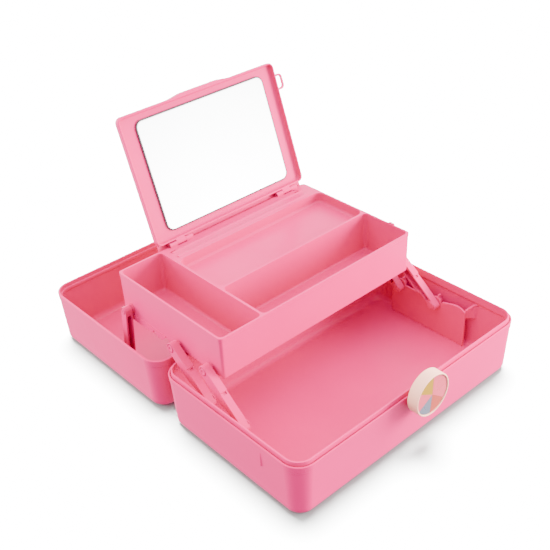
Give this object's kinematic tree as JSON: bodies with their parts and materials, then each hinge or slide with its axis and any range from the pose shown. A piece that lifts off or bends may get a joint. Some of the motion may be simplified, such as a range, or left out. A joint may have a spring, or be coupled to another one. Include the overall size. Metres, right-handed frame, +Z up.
{
  "type": "cosmetics case",
  "caption": "Pink clamshell cosmetics case lying open, with a cantilever tray on swing arms, a flip-up mirror on the tray and a round flip latch.",
  "frame": {"origin": "on the surface the open case stands on, at the centre of its bounding box", "axes": "+X along the main hinge to the right, +Y from the latch towards the lid, +Z up"},
  "size_m": [0.33, 0.4398, 0.2758],
  "materials": {
    "case_plastic": "glossy moulded pink polypropylene with a soft sheen",
    "latch_plastic": "satin cream moulded plastic",
    "latch_inlay": "printed colour-block disc under a smooth coat",
    "mirror": "silvered flat mirror",
    "pin_steel": "plain bright steel wire"
  },
  "bodies": {
    "base": {"base_shell": "case_plastic", "base_pin_front_left": "case_plastic", "base_pin_front_right": "case_plastic", "base_pin_rear_left": "case_plastic", "base_pin_rear_right": "case_plastic", "hinge_pin_left": "pin_steel", "hinge_pin_right": "pin_steel", "latch_pin": "pin_steel"},
    "lid": {"lid_shell": "case_plastic", "link_lid_pin_left": "case_plastic", "link_lid_pin_right": "case_plastic", "handle_pin_left": "pin_steel", "handle_pin_right": "pin_steel"},
    "arm_front_left": {"arm_front_left": "case_plastic"},
    "arm_front_right": {"arm_front_right": "case_plastic"},
    "arm_rear_left": {"arm_rear_left": "case_plastic"},
    "arm_rear_right": {"arm_rear_right": "case_plastic"},
    "tray": {"tray": "case_plastic", "mirror_pin_left": "pin_steel", "mirror_pin_right": "pin_steel", "tray_rivet_front_left": "case_plastic", "tray_rivet_front_right": "case_plastic", "tray_rivet_rear_left": "case_plastic", "tray_rivet_rear_right": "case_plastic"},
    "mirror": {"mirror_frame": "case_plastic", "mirror_glass": "mirror"},
    "link_left": {"lid_link_left": "case_plastic", "link_tray_pin_left": "case_plastic"},
    "link_right": {"lid_link_right": "case_plastic", "link_tray_pin_right": "case_plastic"},
    "latch": {"latch_body": "latch_plastic", "latch_inlay": "latch_inlay"},
    "handle": {"carry_handle": "case_plastic"}
  },
  "joints": [
    {"name": "lid_hinge", "type": "hinge", "parent": "base", "child": "lid", "pos_m": [0, 0.0065, 0.0666], "axis": [1, 0, 0], "range_deg": [0, 180]},
    {"name": "arm_front_left_pivot", "type": "hinge", "parent": "base", "child": "arm_front_left", "pos_m": [0, -0.1025, 0.046], "axis": [1, 0, 0], "range_deg": [0, 131.9]},
    {"name": "arm_front_right_pivot", "type": "hinge", "parent": "base", "child": "arm_front_right", "pos_m": [0, -0.1025, 0.046], "axis": [1, 0, 0], "range_deg": [0, 131.9]},
    {"name": "arm_rear_left_pivot", "type": "hinge", "parent": "base", "child": "arm_rear_left", "pos_m": [0, -0.0495, 0.046], "axis": [1, 0, 0], "range_deg": [0, 131.9]},
    {"name": "arm_rear_right_pivot", "type": "hinge", "parent": "base", "child": "arm_rear_right", "pos_m": [0, -0.0495, 0.046], "axis": [1, 0, 0], "range_deg": [0, 131.9]},
    {"name": "tray_lift", "type": "hinge", "parent": "arm_front_left", "child": "tray", "pos_m": [0, -0.0505, 0.086], "axis": [1, 0, 0], "range_deg": [-131.9, 0]},
    {"name": "mirror_fold", "type": "hinge", "parent": "tray", "child": "mirror", "pos_m": [0, 0.1015, 0.1316], "axis": [1, 0, 0], "range_deg": [0, 109.01]},
    {"name": "link_left_pivot", "type": "hinge", "parent": "lid", "child": "link_left", "pos_m": [0, 0.09343, 0.022], "axis": [1, 0, 0], "range_deg": [0, 39.88]},
    {"name": "link_right_pivot", "type": "hinge", "parent": "lid", "child": "link_right", "pos_m": [0, 0.09343, 0.022], "axis": [1, 0, 0], "range_deg": [0, 39.88]},
    {"name": "latch_hinge", "type": "hinge", "parent": "base", "child": "latch", "pos_m": [0, -0.213, 0.052], "axis": [1, 0, 0], "range_deg": [-5, 90]},
    {"name": "handle_hinge", "type": "hinge", "parent": "lid", "child": "handle", "pos_m": [0, 0.1335, 0.0066], "axis": [1, 0, 0], "range_deg": [0, 90]}
  ],
  "couplings": [
    {"joint": "arm_front_left_pivot", "follows": "lid_hinge", "ratio": 0.73273},
    {"joint": "arm_front_right_pivot", "follows": "lid_hinge", "ratio": 0.73273},
    {"joint": "arm_rear_left_pivot", "follows": "lid_hinge", "ratio": 0.73273},
    {"joint": "arm_rear_right_pivot", "follows": "lid_hinge", "ratio": 0.73273},
    {"joint": "tray_lift", "follows": "lid_hinge", "ratio": -0.73273},
    {"joint": "mirror_fold", "follows": "lid_hinge", "ratio": 0.60556},
    {"joint": "link_left_pivot", "follows": "lid_hinge", "ratio": 0.22148},
    {"joint": "link_right_pivot", "follows": "lid_hinge", "ratio": 0.22148}
  ]
}
